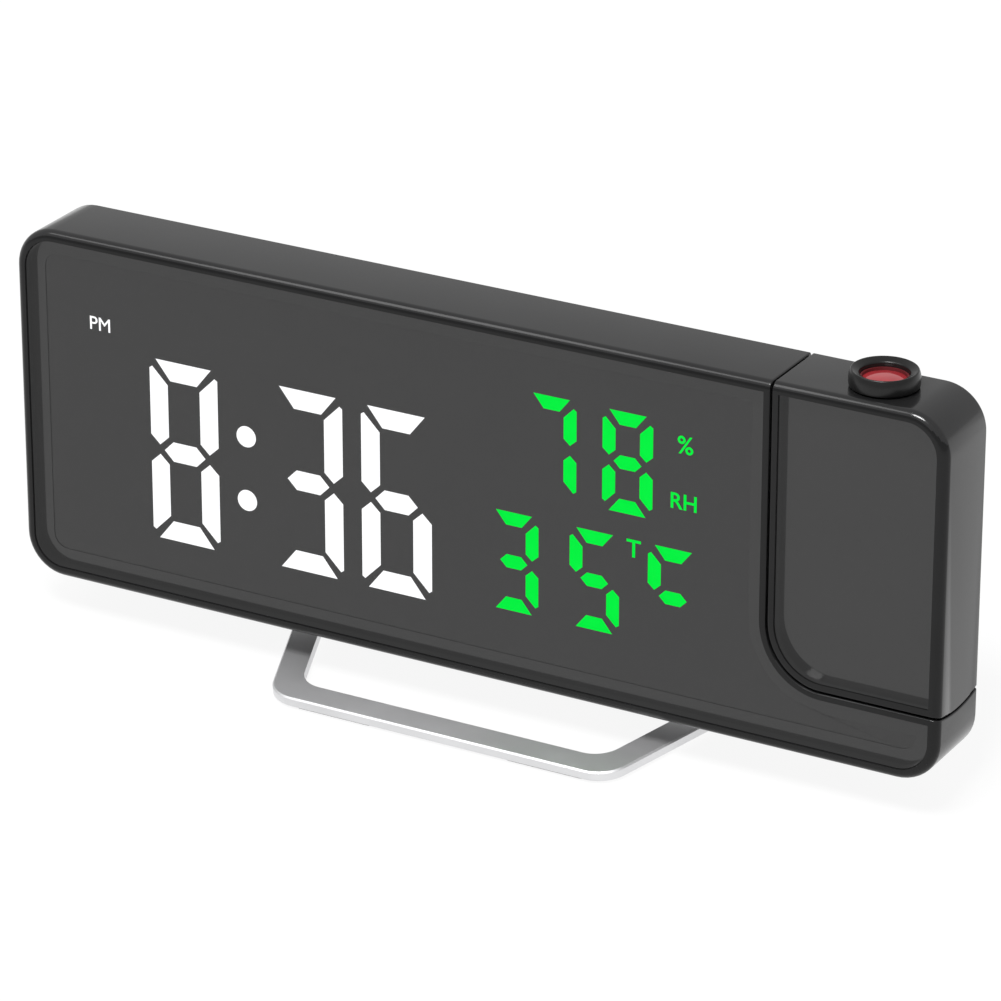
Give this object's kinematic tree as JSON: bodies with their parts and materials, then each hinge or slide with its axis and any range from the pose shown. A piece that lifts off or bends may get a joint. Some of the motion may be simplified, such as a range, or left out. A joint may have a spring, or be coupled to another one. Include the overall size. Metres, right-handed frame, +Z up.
{
  "type": "projection alarm clock",
  "caption": "Slim mirror-front digital alarm clock on a bent metal stand, with a swivelling block at one top corner whose lens projects the time.",
  "frame": {"origin": "on the table, under the middle of the clock's bounding box", "axes": "+X to the right as seen from the front, -Y towards the viewer, +Z up; the case leans back 7 degrees"},
  "size_m": [0.19, 0.0436, 0.0813],
  "materials": {
    "gloss_black": "gloss",
    "satin_black": "fine texture",
    "smoked_mirror": "half mirror, smoked",
    "matt_black": "matt",
    "lit_white": "lit diffuser",
    "lit_green": "lit diffuser",
    "smoked_diffuser": "satin",
    "white_plastic": "matt",
    "circuit_board": "solder mask",
    "led_resin": "clear resin",
    "screw_steel": "plated",
    "polished_metal": "polished",
    "soft_rubber": "matt",
    "chip_resin": "matt",
    "speaker_metal": "drawn",
    "cell_steel": "satin",
    "socket_metal": "plated",
    "ring_black": "gloss",
    "red_lens": "polished",
    "button_black": "satin"
  },
  "bodies": {
    "case": {"front_case": "gloss_black", "display_window": "smoked_mirror", "display_mask": "matt_black", "time_segments": "lit_white", "climate_segments": "lit_green", "unlit_segments": "smoked_diffuser", "indicator_windows": "smoked_diffuser", "display_reflector": "white_plastic", "led_board": "circuit_board", "display_leds": "led_resin", "display_screws": "screw_steel", "stand": "polished_metal", "foot_pads": "soft_rubber", "rear_cover": "satin_black", "case_screws": "screw_steel", "stand_screws": "screw_steel", "main_board": "circuit_board", "board_chips": "chip_resin", "climate_sensor": "white_plastic", "board_screws": "screw_steel", "button_switches": "chip_resin", "speaker": "speaker_metal", "coin_cell": "cell_steel", "cell_tray": "satin_black", "cell_contact": "screw_steel", "usb_socket": "socket_metal", "dc_socket": "satin_black"},
    "projector": {"projector_shell": "gloss_black", "projector_window": "smoked_mirror", "projector_cover": "satin_black", "projector_screws": "screw_steel", "swivel_sleeve": "satin_black", "friction_washer": "soft_rubber", "retaining_clip": "screw_steel", "optic_block": "matt_black", "projector_lcd": "smoked_diffuser", "projector_board": "circuit_board", "projector_lamp": "led_resin"},
    "focus_dial": {"focus_ring": "ring_black"},
    "lens_cell": {"lens_carrier": "matt_black", "lens": "red_lens"},
    "set_key": {"set_button": "button_black"},
    "up_key": {"up_button": "button_black"},
    "down_key": {"down_button": "button_black"},
    "alarm_key": {"alarm_button": "button_black"},
    "snooze_key": {"snooze_button": "button_black"},
    "cell_hatch": {"cell_door": "satin_black"}
  },
  "joints": [
    {"name": "projector_swivel", "type": "hinge", "parent": "case", "child": "projector", "pos_m": [0.0778, 0.00242, 0.04944], "axis": [1, 0, 0], "range_deg": [-90, 90]},
    {"name": "focus_turn", "type": "hinge", "parent": "projector", "child": "focus_dial", "pos_m": [0.079, 0.00583, 0.07723], "axis": [0, 0.1219, 0.9925], "range_deg": [-135, 135]},
    {"name": "lens_travel", "type": "slide", "parent": "projector", "child": "lens_cell", "axis": [0, 0.1219, 0.9925], "range_m": [-0.0006, 0.0006]},
    {"name": "set_press", "type": "slide", "parent": "case", "child": "set_key", "axis": [0, -0.9925, 0.1219], "range_m": [0, 0.0006], "stiffness_N_per_m": 2000},
    {"name": "up_press", "type": "slide", "parent": "case", "child": "up_key", "axis": [0, -0.9925, 0.1219], "range_m": [0, 0.0006], "stiffness_N_per_m": 2000},
    {"name": "down_press", "type": "slide", "parent": "case", "child": "down_key", "axis": [0, -0.9925, 0.1219], "range_m": [0, 0.0006], "stiffness_N_per_m": 2000},
    {"name": "alarm_press", "type": "slide", "parent": "case", "child": "alarm_key", "axis": [0, -0.9925, 0.1219], "range_m": [0, 0.0006], "stiffness_N_per_m": 2000},
    {"name": "snooze_press", "type": "slide", "parent": "case", "child": "snooze_key", "axis": [0, -0.9925, 0.1219], "range_m": [0, 0.0006], "stiffness_N_per_m": 2000},
    {"name": "cell_door_pull", "type": "slide", "parent": "case", "child": "cell_hatch", "axis": [0, 0.9925, -0.1219], "range_m": [0, 0.012]}
  ],
  "couplings": [
    {"joint": "focus_turn", "follows": "lens_travel", "rad_per_m": 3920}
  ]
}
